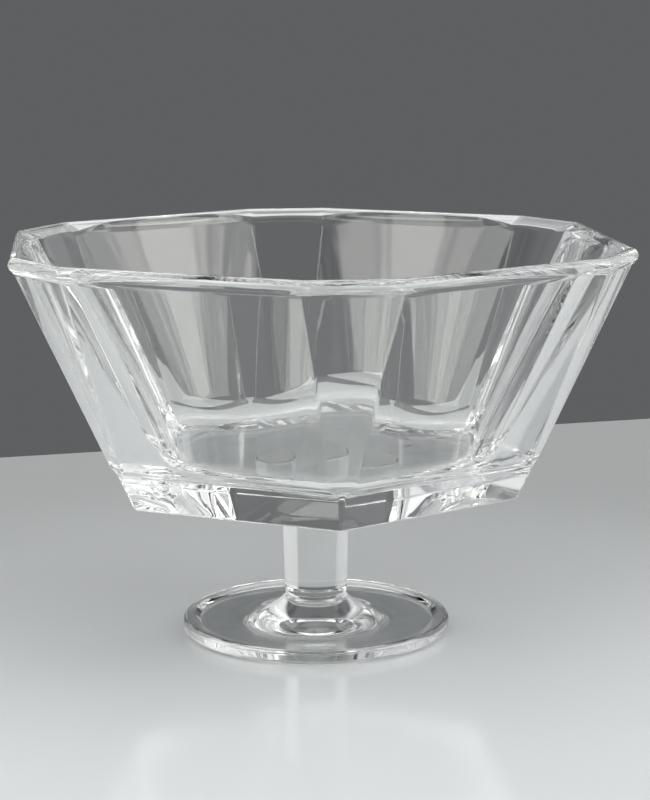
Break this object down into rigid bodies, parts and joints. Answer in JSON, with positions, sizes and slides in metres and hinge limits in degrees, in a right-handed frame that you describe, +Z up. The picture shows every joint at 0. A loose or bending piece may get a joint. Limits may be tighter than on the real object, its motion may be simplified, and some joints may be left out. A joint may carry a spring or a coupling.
{
  "type": "footed fruit bowl",
  "caption": "Footed fruit bowl of clear pressed glass: deep six-sided bowl with cut-off corners, a rounded lip and a thick banded base, on a round stem and a flared disc foot.",
  "frame": {"origin": "middle of the foot's flat underside, where the bowl stands on the table", "axes": "+Z up along the stem and the bowl's axis, +X to the middle of a long side, +Y to the middle of a cut-off corner"},
  "size_m": [0.24, 0.2564, 0.16],
  "materials": {
    "bowl_glass": "clear pressed glass, polished, colourless with a faint grey-green tint in thick places",
    "stem_glass": "clear pressed glass, polished, colourless with a faint grey-green tint in thick places",
    "foot_glass": "clear pressed glass, polished, colourless with a faint grey-green tint in thick places",
    "clear_adhesive": "clear cured adhesive film between two glass faces"
  },
  "bodies": {
    "root": {"bowl": "bowl_glass", "stem": "stem_glass", "foot": "foot_glass", "bowl_bond": "clear_adhesive", "foot_bond": "clear_adhesive"}
  },
  "joints": []
}
